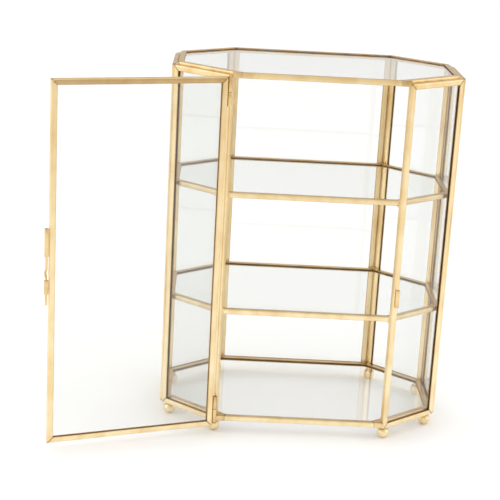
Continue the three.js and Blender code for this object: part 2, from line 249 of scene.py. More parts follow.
def folded_brass():
    colours = [(0.12, TARNISH), (0.3, WARM_BRASS), (0.6, PALE_BRASS)]
    return metal("folded_brass", colours, (0.24, 0.38), (60, 9000, 1), 0.00002, True)


def solder():
    colours = [(0.3, TARNISH), (0.48, WARM_BRASS), (0.75, PALE_BRASS)]
    return metal("gilded_solder", colours, (0.28, 0.46), (900, 900, 900), 0.00012)


def drawn_brass():
    colours = [(0.3, TARNISH), (0.5, WARM_BRASS), (0.85, PALE_BRASS)]
    return metal("drawn_brass", colours, (0.12, 0.24), (5000, 5000, 120), 0.00002)


def ball_brass():
    colours = [(0.2, WARM_BRASS), (0.5, PALE_BRASS)]
    return metal("ball_brass", colours, (0.3, 0.44), (1500, 1500, 1500), 0.00004)


def sheet_glass(name, tint):
    """Sheet glass. Shadow and diffuse rays go straight through, so what it shuts in is lit."""
    material, tree, shader = start_material(name)
    shader.inputs["Base Color"].default_value = tint
    shader.inputs["IOR"].default_value = GLASS_IOR
    shader.inputs["Transmission Weight"].default_value = 1.0
    places = tree.nodes.new("ShaderNodeTexCoord")
    smears = stretched_noise(tree, places.outputs["Object"], SMEAR_STRETCH, detail=6.0)
    tree.links.new(number_band(tree, smears, *SMEAR_ROUGHNESS), shader.inputs["Roughness"])
    clear = tree.nodes.new("ShaderNodeBsdfTransparent")
    light_path = tree.nodes.new("ShaderNodeLightPath")
    mix = tree.nodes.new("ShaderNodeMixShader")
    either = tree.nodes.new("ShaderNodeMath")
    either.operation = "MAXIMUM"
    tree.links.new(light_path.outputs["Is Shadow Ray"], either.inputs[0])
    tree.links.new(light_path.outputs["Is Diffuse Ray"], either.inputs[1])
    tree.links.new(either.outputs["Value"], mix.inputs["Fac"])
    tree.links.new(shader.outputs["BSDF"], mix.inputs[1])
    tree.links.new(clear.outputs["BSDF"], mix.inputs[2])
    output = tree.nodes["Material Output"]
    tree.links.new(mix.outputs["Shader"], output.inputs["Surface"])
    return material


CHANNEL = folded_brass()
SOLDER = solder()
TUBE = drawn_brass()
BALL = ball_brass()
# Painted shade: the upright panes get a darker tint than the level panes, though both are one glass.
SHADED_UPRIGHT_GLASS = sheet_glass("upright_glass_shaded", (0.905, 0.91, 0.9, 1))
LEVEL_GLASS = sheet_glass("level_glass", (0.98, 0.985, 0.975, 1))
finishes = (CHANNEL, SOLDER, TUBE, BALL, SHADED_UPRIGHT_GLASS, LEVEL_GLASS)
print("finishes:", [m.name for m in finishes])

# %% [markdown]
# ## Reading a flat panel from the CAD
# Every framed pane lies in some plane. To build along its edge we need that plane and the corners
# of its outline. The pane's largest facet gives the normal. A pane has two faces, so the normal may
# point inwards, and it is turned away from the middle of the cabinet. The convex hull of the pane's
# points gives its corners, which then move outwards until their sides lie on the channel's web.
# Points that the hull keeps on a straight side are dropped.

# %% Panels
SHORTEST_SIDE = 1.0 * MM


def middle_of(node):
    low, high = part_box(node)
    return (low + high) / 2


CABINET_MIDDLE = middle_of("base_pane")


class Panel:
    """A framed pane: its plane, the corners of its outline in that plane, and its thickness."""

    def __init__(self, channel_nodes, pane_node):
        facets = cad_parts[pane_node].data.polygons
        self.normal = max(facets, key=lambda facet: facet.area).normal.copy()
        if abs(self.normal.z) > 0.5:
            self.normal = Vector((0, 0, 1))
            self.across = Vector((1, 0, 0))
        else:
            if self.normal.dot(middle_of(pane_node) - CABINET_MIDDLE) < 0:
                self.normal.negate()
            self.across = Vector((0, 0, 1)).cross(self.normal).normalized()
        self.up = self.normal.cross(self.across)
        points = [v.co for n in channel_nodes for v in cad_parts[n].data.vertices]
        heights = [p.dot(self.normal) for p in points]
        self.base, self.thickness = min(heights), max(heights) - min(heights)
        glass = [v.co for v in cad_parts[pane_node].data.vertices]
        self.corners = self.hull([self.flatten(p) for p in glass])
        web = min(self.flatten(p).y for p in points)
        beyond_the_glass = min(c.y for c in self.corners) - web
        self.corners = [
            self.inset_corner(i, -beyond_the_glass) for i in range(len(self.corners))
        ]

    def flatten(self, point):
        return Vector((point.dot(self.across), point.dot(self.up)))

    @staticmethod
    def hull(flat):
        ring = [flat[i] for i in geometry.convex_hull_2d(flat)]
        ring = [p for i, p in enumerate(ring) if (p - ring[i - 1]).length > SHORTEST_SIDE]
        area = sum(a.cross(b) for a, b in zip(ring, ring[1:] + ring[:1]))
        return ring if area > 0 else ring[::-1]

    def inset_corner(self, i, depth):
        """Corner i after every side has moved inwards by depth."""
        here = self.corners[i]
        after = self.corners[(i + 1) % len(self.corners)]
        into = (here - self.corners[i - 1]).normalized()
        out = (after - here).normalized()
        shear = math.tan(math.atan2(into.cross(out), into.dot(out)) / 2)
        return here + depth * (Vector((-out.y, out.x)) + out * shear)

    def place(self, flat_point, height):
        return (self.across * flat_point.x + self.up * flat_point.y
                + self.normal * (self.base + height))


SIDES = ["back", "back_left", "left_end", "front_left", "front_right", "right_end", "back_right"]
LEVELS = ["base", "lower_shelf", "upper_shelf", "top"]
walls = {s: Panel([f"{s}_wall_channel"], f"{s}_wall_pane") for s in SIDES}
levels = {n: Panel([f"{n}_channel"], f"{n}_pane") for n in LEVELS}
DOOR_MEMBERS = ["door_bottom_rail", "door_latch_stile", "door_top_rail", "door_hinge_stile"]
door_panel = Panel(DOOR_MEMBERS, "door_pane")
print("corners per level:", {n: len(p.corners) for n, p in levels.items()})
print("channel thickness, mm:", round(door_panel.thickness / MM, 2))

# %% [markdown]
# ## The folded channel
# Strip brass is folded to a U over the edge of each pane, and the lengths meet in mitres. A cut and
# bevelled block would give sharp, dead folds. Here the U's section is drawn once, with a real bend
# radius, and swept along each side. Because every point of the section is inset by its own depth,
# the ends come out as mitres by themselves. A slow noise, four hundredths of a millimetre deep,
# keeps the long faces from being machine flat. Blender starts that noise from the clock unless it is
# given a seed, so it gets one here, and every run makes the same box.

# %% The section and one length of channel
LIP = 4.1 * MM
STRIP = 0.6 * MM
OUTER_BEND = 0.95 * MM
INNER_BEND = 0.35 * MM
MITRE_SEAM = 0.16 * MM
MITRE_TARNISH_REACH = 0.9 * MM
STATION_EVERY = 6 * MM
HAND_WAVE = 0.04 * MM
WAVES_PER_METRE = 45
SMOOTH_BELOW = math.radians(40)
LIP_STARTS = 0.8 * OUTER_BEND
HAND_SEED = 5
noise.seed_set(HAND_SEED)


def arc(centre, radius, start, end, steps):
    turns = [math.radians(start + (end - start) * i / steps) for i in range(steps + 1)]
    return [(centre[0] + radius * math.cos(a), centre[1] + radius * math.sin(a)) for a in turns]


def folded_section(thickness):
    """The U as (depth from the web, height), closed, with rounded bends and lips."""
    tip = STRIP / 2
    lip, far = LIP - tip, thickness
    inside = STRIP + INNER_BEND
    return [
        *arc((lip, tip), tip, 90, -90, 6),
        *arc((OUTER_BEND, OUTER_BEND), OUTER_BEND, 270, 180, 5),
        *arc((OUTER_BEND, far - OUTER_BEND), OUTER_BEND, 180, 90, 5),
        *arc((lip, far - tip), tip, 90, -90, 6),
        *arc((inside, far - inside), INNER_BEND, 90, 180, 3),
        *arc((inside, inside), INNER_BEND, 180, 270, 3),
    ]


def add_length(bm, uv_layer, tarnish_and_shade_layer, panel, side, lip_shade):
    """One mitred length along a side of the panel, as a closed solid."""
    section = folded_section(panel.thickness)
    count = len(panel.corners)
    run = panel.corners[(side + 1) % count] - panel.corners[side]
    stations = max(2, round(run.length / STATION_EVERY))
    step_back = run.normalized() * MITRE_SEAM / 2
    starts = [panel.inset_corner(side, depth) + step_back for depth, _ in section]
    ends = [panel.inset_corner((side + 1) % count, depth) - step_back for depth, _ in section]
    near_end = MITRE_TARNISH_REACH / run.length
    shares = [0, near_end, *(i / stations for i in range(1, stations)), 1 - near_end, 1]
    rings = []
    for share in shares:
        ring = []
        for start, end, (depth, height) in zip(starts, ends, section):
            point = panel.place(start.lerp(end, share), height)
            corner = bm.verts.new(point + noise.noise_vector(point * WAVES_PER_METRE) * HAND_WAVE)
            on_the_lip = depth > LIP_STARTS
            # Mitre ends are browned; lips take painted shade where it is asked for, on the door's top
            # rail.
            corner[tarnish_and_shade_layer] = 1.0 if share in (0, 1) else lip_shade * on_the_lip
            ring.append(corner)
        rings.append(ring)
    bm.faces.new(rings[0])
    bm.faces.new(rings[-1][::-1])
    round_it = [0.0]
    for (d0, h0), (d1, h1) in zip(section, section[1:] + section[:1]):
        round_it.append(round_it[-1] + math.hypot(d1 - d0, h1 - h0))
    for near, far, *along in zip(rings, rings[1:], shares, shares[1:]):
        along = [run.length * share for share in along]
        for i in range(len(section)):
            j = (i + 1) % len(section)
            face = bm.faces.new([near[i], near[j], far[j], far[i]])
            marks = [(along[0], round_it[i]), (along[0], round_it[i + 1]),
                     (along[1], round_it[i + 1]), (along[1], round_it[i])]
            for loop, mark in zip(face.loops, marks):
                loop[uv_layer].uv = mark


def channel_piece(name, panel, sides, body, *stands_for, lip_shade=0.0):
    mesh = bpy.data.meshes.new(name)
    bm = bmesh.new()
    uv_layer = bm.loops.layers.uv.new("along_the_strip")
    tarnish_and_shade_layer = bm.verts.layers.float.new("mitre_tarnish_and_rail_shade")
    for side in sides:
        add_length(bm, uv_layer, tarnish_and_shade_layer, panel, side, lip_shade)
    bmesh.ops.recalc_face_normals(bm, faces=bm.faces)
    bm.to_mesh(mesh)
    bm.free()
    return finish_piece(name, mesh, CHANNEL, body, stands_for)


def finish_piece(name, mesh, material, body, stands_for):
    """The mesh as a finished piece. With no material given, the mesh keeps its own."""
    if material is not None:
        mesh.materials.clear()
        mesh.materials.append(material)
    mesh.shade_smooth()
    mesh.set_sharp_from_angle(angle=SMOOTH_BELOW)
    piece = bpy.data.objects.new(name, mesh)
    bpy.context.scene.collection.objects.link(piece)
    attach(piece, body)
    if stands_for:
        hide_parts(*stands_for)
    return piece


# %% Channels round every pane
# Painted shade on the lips of the door's top rail.
TOP_RAIL_SHADE = 0.6
for name, panel in walls.items():
    channel_piece(f"{name}_wall_fold", panel, range(4), "cabinet", f"{name}_wall_channel")
for name, panel in levels.items():
    every_side = range(len(panel.corners))
    channel_piece(f"{name}_fold", panel, every_side, "cabinet", f"{name}_channel")
for member in DOOR_MEMBERS:
    flat = door_panel.flatten(middle_of(member))
    corners = door_panel.corners
    middles = [(corners[i] + corners[(i + 1) % 4]) / 2 for i in range(4)]
    nearest = min(range(4), key=lambda i: (middles[i] - flat).length)
    browned = TOP_RAIL_SHADE if member == "door_top_rail" else 0.0
    fold = f"{member}_fold"
    channel_piece(fold, door_panel, [nearest], "door", member, lip_shade=browned)
print("channel frames:", len(walls) + len(levels), "and four door members")

# %% [markdown]
# ## Glass
# The panes are flat sheets whose edges are hidden in the channels, so their CAD shape is already
# right. They only need a better finish, assigned to the slots that they have.

# %% Glaze the box
panes = [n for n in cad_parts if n.endswith("_pane")]
for name in panes:
    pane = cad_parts[name]
    pane.data.materials.clear()
    lies_flat = name.removesuffix("_pane") in LEVELS
    # Upright panes take the darker tint, a painted shade.
    pane.data.materials.append(LEVEL_GLASS if lies_flat else SHADED_UPRIGHT_GLASS)
print("panes:", len(panes))

# %% [markdown]
# ## Geometry Nodes: a kit for what repeats
# Solder, feet and tubes repeat a rule, so each is a node tree with named sizes. A helper makes a
# tree's sockets, a second adds nodes, and a third runs the tree on a starting mesh and keeps the
# result as a plain mesh, with no modifier left on it.

def start_tree(name, sizes):
    tree = bpy.data.node_groups.new(name, "GeometryNodeTree")
    tree.interface.new_socket("Geometry", in_out="INPUT", socket_type="NodeSocketGeometry")
    for label, value in sizes.items():
        kind = "NodeSocketInt" if isinstance(value, int) else "NodeSocketFloat"
        socket = tree.interface.new_socket(label, in_out="INPUT", socket_type=kind)
        socket.default_value = value
    tree.interface.new_socket("Material", in_out="INPUT", socket_type="NodeSocketMaterial")
    tree.interface.new_socket("Geometry", in_out="OUTPUT", socket_type="NodeSocketGeometry")
    given = tree.nodes.new("NodeGroupInput")
    return tree, given


def add_node(tree, kind, links=None, **settings):
    """links maps an input, by name or number, to an output socket or to a plain value."""
    node = tree.nodes.new(kind)
    for key, value in settings.items():
        setattr(node, key, value)
    for key, value in (links or {}).items():
        if isinstance(value, bpy.types.NodeSocket):
            tree.links.new(value, node.inputs[key])
        else:
            node.inputs[key].default_value = value
    return node


def end_tree(tree, given, geometry_out):
    real = add_node(tree, "GeometryNodeRealizeInstances", {"Geometry": geometry_out})
    painted = add_node(tree, "GeometryNodeSetMaterial", {
        "Geometry": real.outputs["Geometry"], "Material": given.outputs["Material"],
    })
    result = tree.nodes.new("NodeGroupOutput")
    tree.links.new(painted.outputs["Geometry"], result.inputs["Geometry"])
    return tree


def line_mesh(name, lines):
    """A starting mesh of edges. Each line is a list of points, and one point alone is a vertex."""
    vertices = [p for line in lines for p in line]
    edges, first = [], 0
    for line in lines:
        edges += [(first + i, first + i + 1) for i in range(len(line) - 1)]
        first += len(line)
    mesh = bpy.data.meshes.new(name)
    mesh.from_pydata(vertices, edges, [])
    return mesh


def grow(name, tree, start, sizes, material, body, stands_for=()):
    seedling = bpy.data.objects.new(name + "_start", start)
    bpy.context.scene.collection.objects.link(seedling)
    modifier = seedling.modifiers.new("grow", "NODES")
    modifier.node_group = tree
    identifiers = {i.name: i.identifier for i in tree.interface.items_tree if i.in_out == "INPUT"}
    for label, value in {**sizes, "Material": material}.items():
        modifier[identifiers[label]] = value
    depsgraph = bpy.context.evaluated_depsgraph_get()
    mesh = bpy.data.meshes.new_from_object(seedling.evaluated_get(depsgraph))
    mesh.name = name
    bpy.data.objects.remove(seedling)
    return finish_piece(name, mesh, None, body, stands_for)


# %% [markdown]
# ## Solder and wire
# Molten solder runs along a joint and freezes in an uneven bead. A bead is a circle swept along the
# joint's line, swollen and pinched by noise. The same tree with no wobble draws a plain wire.

# %% A bead along a line
def bead_tree():
    tree, given = start_tree("bead_along_a_line", {
        "Radius": 0.8 * MM, "Swelling": 0.3, "Wander": 0.1 * MM, "Step": 1.0 * MM, "Sides": 12,
    })
    curve = add_node(tree, "GeometryNodeMeshToCurve", {"Mesh": given.outputs["Geometry"]})
    even = add_node(tree, "GeometryNodeResampleCurve", {
        "Curve": curve.outputs["Curve"], "Length": given.outputs["Step"],
    }, mode="LENGTH")
    place = add_node(tree, "GeometryNodeInputPosition")
    pulse = add_node(tree, "ShaderNodeTexNoise", {
        "Vector": place.outputs["Position"], "Scale": 260.0, "Detail": 2.0,
    })
    centred = add_node(tree, "ShaderNodeMath", {0: pulse.outputs[0], 1: 0.5}, operation="SUBTRACT")
    swell = add_node(tree, "ShaderNodeMath", {
        0: centred.outputs[0], 1: given.outputs["Swelling"], 2: 1.0,
    }, operation="MULTIPLY_ADD")
    thick = add_node(tree, "ShaderNodeMath", {
        0: swell.outputs[0], 1: given.outputs["Radius"],
    }, operation="MULTIPLY")
    circle = add_node(tree, "GeometryNodeCurvePrimitiveCircle", {
        "Resolution": given.outputs["Sides"], "Radius": 1.0,
    })
    swept = add_node(tree, "GeometryNodeCurveToMesh", {
        "Curve": even.outputs["Curve"], "Profile Curve": circle.outputs["Curve"],
        "Scale": thick.outputs[0], "Fill Caps": True,
    })
    drift = add_node(tree, "ShaderNodeTexNoise", {
        "Vector": place.outputs["Position"], "Scale": 500.0,
    })
    middle = add_node(tree, "ShaderNodeVectorMath", {
        0: drift.outputs["Color"], 1: (0.5, 0.5, 0.5),
    }, operation="SUBTRACT")
    shift = add_node(tree, "ShaderNodeVectorMath", {
        0: middle.outputs["Vector"], "Scale": given.outputs["Wander"],
    }, operation="SCALE")
    moved = add_node(tree, "GeometryNodeSetPosition", {
        "Geometry": swept.outputs["Mesh"], "Offset": shift.outputs["Vector"],
    })
    return end_tree(tree, given, moved.outputs["Geometry"])


BEAD = bead_tree()
POST_BEAD = 0.95 * MM
BEAD_BURIED = 2.35 * MM
RIM_BEAD = 0.42 * MM
RIM_SET_IN = 0.3 * MM
RIM_ON_THE_BASE = 0.4 * MM
BEAD_STOPS_SHORT = LIP / 4


def wall_joints():
    """A line up each outside joint between two walls, a little below their outer faces."""
    lines = []
    for left, right in zip(SIDES, SIDES[1:]):
        if (left, right) == ("front_left", "front_right"):
            continue
        lines.append(joint_line(walls[left], walls[right]))
    lines.append(joint_line(walls["back_right"], walls["back"]))
    return lines


def joint_line(a, b):
    """The line where the outer faces of panels a and b would meet, moved inwards."""
    outer_a, outer_b = a.base + a.thickness, b.base + b.thickness
    cross = a.normal.x * b.normal.y - a.normal.y * b.normal.x
    x = (outer_a * b.normal.y - outer_b * a.normal.y) / cross
    y = (a.normal.x * outer_b - b.normal.x * outer_a) / cross
    inwards = -(a.normal + b.normal).normalized() * BEAD_BURIED
    foot = min(corner.y for corner in a.corners)
    head = max(corner.y for corner in a.corners)
    ends = [foot + BEAD_STOPS_SHORT, head - BEAD_STOPS_SHORT]
    return [Vector((x, y, z)) + inwards for z in ends]


# %% Beads on the posts and round the top and base
post_lines = wall_joints()
grow("post_solder", BEAD, line_mesh("post_lines", post_lines), {
    "Radius": POST_BEAD, "Swelling": 0.14, "Wander": 0.1 * MM, "Step": 1.2 * MM,
}, SOLDER, "cabinet")
print("post joints:", len(post_lines))


def rim_lines(panel, height):
    """Lines along the sides that meet a wall. The front side is the one nearest the door."""
    count = len(panel.corners)
    corners = [panel.inset_corner(i, RIM_SET_IN) for i in range(count)]
    front = min(range(count), key=lambda i: corners[i].y + corners[(i + 1) % count].y)
    return [
        [panel.place(corners[i], height), panel.place(corners[(i + 1) % count], height)]
        for i in range(count) if i != front
    ]


wall_top = max(v.co.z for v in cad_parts["back_wall_channel"].data.vertices)
top_seam_height = wall_top - levels["top"].base
rim = rim_lines(levels["top"], top_seam_height) + rim_lines(levels["base"], RIM_ON_THE_BASE)
grow("rim_solder", BEAD, line_mesh("rim_lines", rim), {
    "Radius": RIM_BEAD, "Swelling": 0.6, "Wander": 0.15 * MM, "Sides": 8,
}, SOLDER, "cabinet")
print("rim joints:", len(rim))

# %% [markdown]
# ## Tacks of solder
# Where a shelf's corner meets the posts there is a lump of solder above and one below. The top's
# corners and the door's mitres have them too. Instances on points make them: one rough ball, turned
# and scaled at random from a fixed seed, so every run is the same.

# %% Tacks at the corners
def tack_tree():
    tree, given = start_tree("solder_tacks", {"Radius": 1.5 * MM, "Roughness": 0.5 * MM, "Seed": 7})
    ball = add_node(tree, "GeometryNodeMeshIcoSphere", {
        "Radius": given.outputs["Radius"], "Subdivisions": 3,
    })
    size = add_node(tree, "FunctionNodeRandomValue", {
        "Min": (0.75, 0.75, 0.55), "Max": (1.15, 1.15, 0.9), "Seed": given.outputs["Seed"],
    }, data_type="FLOAT_VECTOR")
    turn = add_node(tree, "FunctionNodeRandomValue", {
        "Min": (-0.3, -0.3, -3.14), "Max": (0.3, 0.3, 3.14), "Seed": given.outputs["Seed"],
    }, data_type="FLOAT_VECTOR")
    placed = add_node(tree, "GeometryNodeInstanceOnPoints", {
        "Points": given.outputs["Geometry"], "Instance": ball.outputs["Mesh"],
        "Scale": size.outputs["Value"], "Rotation": turn.outputs["Value"],
    })
    real = add_node(tree, "GeometryNodeRealizeInstances", {"Geometry": placed.outputs["Instances"]})
    place = add_node(tree, "GeometryNodeInputPosition")
    lumps = add_node(tree, "ShaderNodeTexNoise", {
        "Vector": place.outputs["Position"], "Scale": 420.0, "Detail": 2.0,
    })
    middle = add_node(tree, "ShaderNodeVectorMath", {
        0: lumps.outputs["Color"], 1: (0.5, 0.5, 0.5),
    }, operation="SUBTRACT")
    shift = add_node(tree, "ShaderNodeVectorMath", {
        0: middle.outputs["Vector"], "Scale": given.outputs["Roughness"],
    }, operation="SCALE")
    moved = add_node(tree, "GeometryNodeSetPosition", {
        "Geometry": real.outputs["Geometry"], "Offset": shift.outputs["Vector"],
    })
    return end_tree(tree, given, moved.outputs["Geometry"])


TACKS = tack_tree()
ON_THE_CHANNEL = 0.05 * MM
TACK_SET_IN = 0.3 * MM
SHELF_TACK_SUNK = 0.2 * MM
TOP_TACK_SUNK = 2.0 * MM
FRONT_TACK_SUNK = 1.2 * MM
DOOR_TACK_SET_IN = 1.3 * MM
DOOR_TACK_SUNK = 0.5 * MM


def wedge_points(name):
    """The points that only the filled wedges of a level's plate have, left wedge first."""
    panel = levels[name]
    plan_points = {
        tuple(round(c, 6) for c in panel.flatten(v.co))
        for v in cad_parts[f"{name}_channel"].data.vertices
    }
    known = [panel.inset_corner(i, depth) for i in range(len(panel.corners))
             for depth in (0, STRIP, LIP)]
    return sorted(p for p in plan_points
                  if min((Vector(p) - k).length for k in known) > ON_THE_CHANNEL)


def level_corners(name, height):
    panel = levels[name]
    return [[panel.place(panel.inset_corner(i, TACK_SET_IN), height)]
            for i in range(len(panel.corners))]


shelf_tacks = [
    tack for name in ("lower_shelf", "upper_shelf")
    for height in (SHELF_TACK_SUNK, levels[name].thickness - SHELF_TACK_SUNK)
    for tack in level_corners(name, height)
]
grow("shelf_tacks", TACKS, line_mesh("shelf_tack_points", shelf_tacks), {
    "Radius": 1.35 * MM, "Seed": 3,
}, SOLDER, "cabinet")
front_line = min(p.y for p in levels["top"].corners)
top_tacks = [
    tack for tack in level_corners("top", levels["top"].thickness - TOP_TACK_SUNK)
    if tack[0].y > front_line + LIP
]
for near_pair in (slice(0, 2), slice(2, 4)):
    front, deep = (Vector(p) for p in wedge_points("top")[near_pair])
    spot = (front + deep) / 2
    top_tacks.append([levels["top"].place(spot, levels["top"].thickness - FRONT_TACK_SUNK)])
grow("top_tacks", TACKS, line_mesh("top_tack_points", top_tacks), {
    "Radius": 1.9 * MM, "Roughness": 0.5 * MM, "Seed": 11,
}, SOLDER, "cabinet")
door_tacks = [
    [door_panel.place(door_panel.inset_corner(i, DOOR_TACK_SET_IN), height)]
    for i in range(4)
    for height in (DOOR_TACK_SUNK, door_panel.thickness - DOOR_TACK_SUNK)
]
grow("door_mitre_tacks", TACKS, line_mesh("door_tack_points", door_tacks), {
    "Radius": 0.8 * MM, "Roughness": 0.3 * MM, "Seed": 5,
}, SOLDER, "door")
print("tacks:", len(shelf_tacks), "on shelves,", len(top_tacks), "on the top,", len(door_tacks))

# %% [markdown]
# ## Filled corners at the front
# At each end of the open front, the top's and base's rails run on to the post, and the wedge before
# the wall's square end is filled. A prism between the wedge's own points has the right plan. Its
# bevelled edges and a little noise make it look poured rather than cut.

# %% Fill the wedges
FILL_OVERLAP = 1.4 * MM
FILL_EDGE = 0.55 * MM
FILL_LUMPS = 0.14 * MM
LUMPS_PER_METRE = 400


def add_fill(bm, panel, wedge):
    """One filled wedge, let a little way into the channel beside it."""
    front, deep = sorted(wedge, key=lambda p: p.y)
    i = min(range(len(panel.corners)), key=lambda c: (panel.corners[c] - front).length)
    inner = panel.inset_corner(i, FILL_OVERLAP)
    on_front = Vector((inner.x, front.y))
    prism = bmesh.new()
    rings = [[prism.verts.new(panel.place(p, height)) for p in (front, deep, inner, on_front)]
             for height in (0, panel.thickness)]
    prism.faces.new(rings[0])
    prism.faces.new(rings[1][::-1])
    for j in range(4):
        k = (j + 1) % 4
        prism.faces.new([rings[0][j], rings[1][j], rings[1][k], rings[0][k]])
    bmesh.ops.recalc_face_normals(prism, faces=prism.faces)
    bmesh.ops.bevel(prism, geom=list(prism.edges), offset=FILL_EDGE, segments=4, profile=0.5,
                    affect="EDGES")
    for corner in prism.verts:
        corner.co += noise.noise_vector(corner.co * LUMPS_PER_METRE) * FILL_LUMPS
    part = bpy.data.meshes.new("one_fill")
    prism.to_mesh(part)
    prism.free()
    bm.from_mesh(part)
    bpy.data.meshes.remove(part)


fills = bmesh.new()
for name in ("base", "top"):
    ends = [Vector(p) for p in wedge_points(name)]
    add_fill(fills, levels[name], ends[:2])
    add_fill(fills, levels[name], ends[2:])
fill_mesh = bpy.data.meshes.new("front_corner_solder")
fills.to_mesh(fill_mesh)
fills.free()
fill_piece = finish_piece("front_corner_solder", fill_mesh, SOLDER, "cabinet", ())
print("filled corners, mm:", [round(side / MM, 1) for side in fill_piece.dimensions])

# %% [markdown]
# ## Ball feet
# Each foot is a brass ball with a flat ground on it above and below, held by a collar of solder. The
# tree clamps the height of a sphere's points, which is just what grinding does.

# %% Feet
COLLAR_FOOT_RADIUS = 2.1 * MM
COLLAR_SUNK = 0.35 * MM


def foot_tree():
    tree, given = start_tree("ball_feet", {
        "Radius": 4.3 * MM, "Half Height": 4.13 * MM, "Collar Radius": 2.9 * MM,
        "Collar Height": 1.9 * MM,
    })
    ball = add_node(tree, "GeometryNodeMeshUVSphere", {
        "Radius": given.outputs["Radius"], "Segments": 40, "Rings": 28,
    })
    place = add_node(tree, "GeometryNodeInputPosition")
    apart = add_node(tree, "ShaderNodeSeparateXYZ", {0: place.outputs["Position"]})
    below = add_node(tree, "ShaderNodeMath", {
        0: apart.outputs["Z"], 1: given.outputs["Half Height"],
    }, operation="MINIMUM")
    under = add_node(tree, "ShaderNodeMath", {
        0: given.outputs["Half Height"], 1: -1.0,
    }, operation="MULTIPLY")
    above = add_node(tree, "ShaderNodeMath", {
        0: below.outputs[0], 1: under.outputs[0],
    }, operation="MAXIMUM")
    ground = add_node(tree, "ShaderNodeCombineXYZ", {
        0: apart.outputs["X"], 1: apart.outputs["Y"], 2: above.outputs[0],
    })
    ball = add_node(tree, "GeometryNodeSetPosition", {
        "Geometry": ball.outputs["Mesh"], "Position": ground.outputs[0],
    })
    collar = add_node(tree, "GeometryNodeMeshCone", {
        "Vertices": 28, "Side Segments": 4, "Fill Segments": 1,
        "Radius Top": given.outputs["Collar Radius"], "Radius Bottom": COLLAR_FOOT_RADIUS,
        "Depth": given.outputs["Collar Height"],
    })
    lift = add_node(tree, "ShaderNodeMath", {
        0: given.outputs["Half Height"], 1: -COLLAR_SUNK,
    }, operation="ADD")
    seat = add_node(tree, "ShaderNodeCombineXYZ", {2: lift.outputs[0]})
    collar = add_node(tree, "GeometryNodeTransform", {
        "Geometry": collar.outputs["Mesh"], "Translation": seat.outputs[0],
    })
    both = add_node(tree, "GeometryNodeJoinGeometry")
    tree.links.new(ball.outputs["Geometry"], both.inputs[0])
    tree.links.new(collar.outputs["Geometry"], both.inputs[0])
    placed = add_node(tree, "GeometryNodeInstanceOnPoints", {
        "Points": given.outputs["Geometry"], "Instance": both.outputs[0],
    })
    return end_tree(tree, given, placed.outputs["Instances"])


feet = sorted(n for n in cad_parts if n.endswith("_foot"))
foot_boxes = [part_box(n) for n in feet]
foot_low, foot_high = foot_boxes[0]
grow("ball_feet", foot_tree(), line_mesh("foot_points", [[(a + b) / 2] for a, b in foot_boxes]), {
    "Radius": (foot_high.x - foot_low.x) / 2, "Half Height": (foot_high.z - foot_low.z) / 2,
}, BALL, "cabinet", feet)
print("feet:", len(feet), "of diameter, mm:", round((foot_high.x - foot_low.x) / MM, 2))

# %% [markdown]
# ## Tubes and pins
# Hinge knuckles, bolt guides and the catch are short lengths of drawn tube. A lathe in Geometry
# Nodes is a small rounded section swept round a circle, and its sizes come from the CAD's box.

# %% Tubes
def tube_tree():
    tree, given = start_tree("drawn_tube", {
        "Outer Radius": 1.5 * MM, "Bore Radius": 1.0 * MM, "Length": 10 * MM, "Edge": 0.12 * MM,
    })
    total = add_node(tree, "ShaderNodeMath", {
        0: given.outputs["Outer Radius"], 1: given.outputs["Bore Radius"],
    }, operation="ADD")
    mean = add_node(tree, "ShaderNodeMath", {0: total.outputs[0], 1: 0.5}, operation="MULTIPLY")
    wall = add_node(tree, "ShaderNodeMath", {
        0: given.outputs["Outer Radius"], 1: given.outputs["Bore Radius"],
    }, operation="SUBTRACT")
    path = add_node(tree, "GeometryNodeCurvePrimitiveCircle", {
        "Resolution": 48, "Radius": mean.outputs[0],
    })
    upright = add_node(tree, "GeometryNodeSetCurveNormal", {
        "Curve": path.outputs["Curve"],
    }, mode="Z_UP")
    section = add_node(tree, "GeometryNodeCurvePrimitiveQuadrilateral", {
        "Width": wall.outputs[0], "Height": given.outputs["Length"],
    })
    eased = add_node(tree, "GeometryNodeFilletCurve", {
        "Curve": section.outputs["Curve"], "Radius": given.outputs["Edge"], "Count": 3,
    }, mode="POLY")
    swept = add_node(tree, "GeometryNodeCurveToMesh", {
        "Curve": upright.outputs["Curve"], "Profile Curve": eased.outputs["Curve"],
    })
    placed = add_node(tree, "GeometryNodeInstanceOnPoints", {
        "Points": given.outputs["Geometry"], "Instance": swept.outputs["Mesh"],
    })
    return end_tree(tree, given, placed.outputs["Instances"])


TUBES = tube_tree()


def bore_radius(node, centre):
    return min((v.co.xy - centre.xy).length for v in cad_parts[node].data.vertices)


TUBE_NODES = {
    "cabinet": ["upper_hinge_wall_knuckle", "lower_hinge_wall_knuckle", "bolt_catch_tube"],
    "door": ["upper_hinge_door_knuckle", "lower_hinge_door_knuckle", "bolt_lower_guide",
             "bolt_upper_guide"],
}
for body, names in TUBE_NODES.items():
    for name in names:
        low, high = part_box(name)
        centre = (low + high) / 2
        piece = grow(name + "_drawn", TUBES, line_mesh(name + "_point", [[centre]]), {
            "Outer Radius": (high.x - low.x) / 2, "Bore Radius": bore_radius(name, centre),
            "Length": high.z - low.z,
        }, TUBE, body, [name])
        size = [round(s / MM, 2) for s in piece.dimensions]
        print(name, "made, mm:", size, "CAD, mm:", [round(s / MM, 2) for s in high - low])

# %% [markdown]
# ## Hinge pins and the bolt
# A pin is wire with a flattened head, so it is two short turned stretches. The bolt is one bent wire.
# Its bend is read back from the CAD wire: the farthest point from the guides' axis tells which way
# and how far it bulges.

# %% Pins and bolt
TURNED_SIDES = 40
PIN_EASE = 0.15 * MM
BOLT_BEND_EASE = 0.8 * MM
BOLT_BENT_BEYOND = 1.2
BOLT_END_BAND = 0.1 * MM
BOLT_STEPS = 80


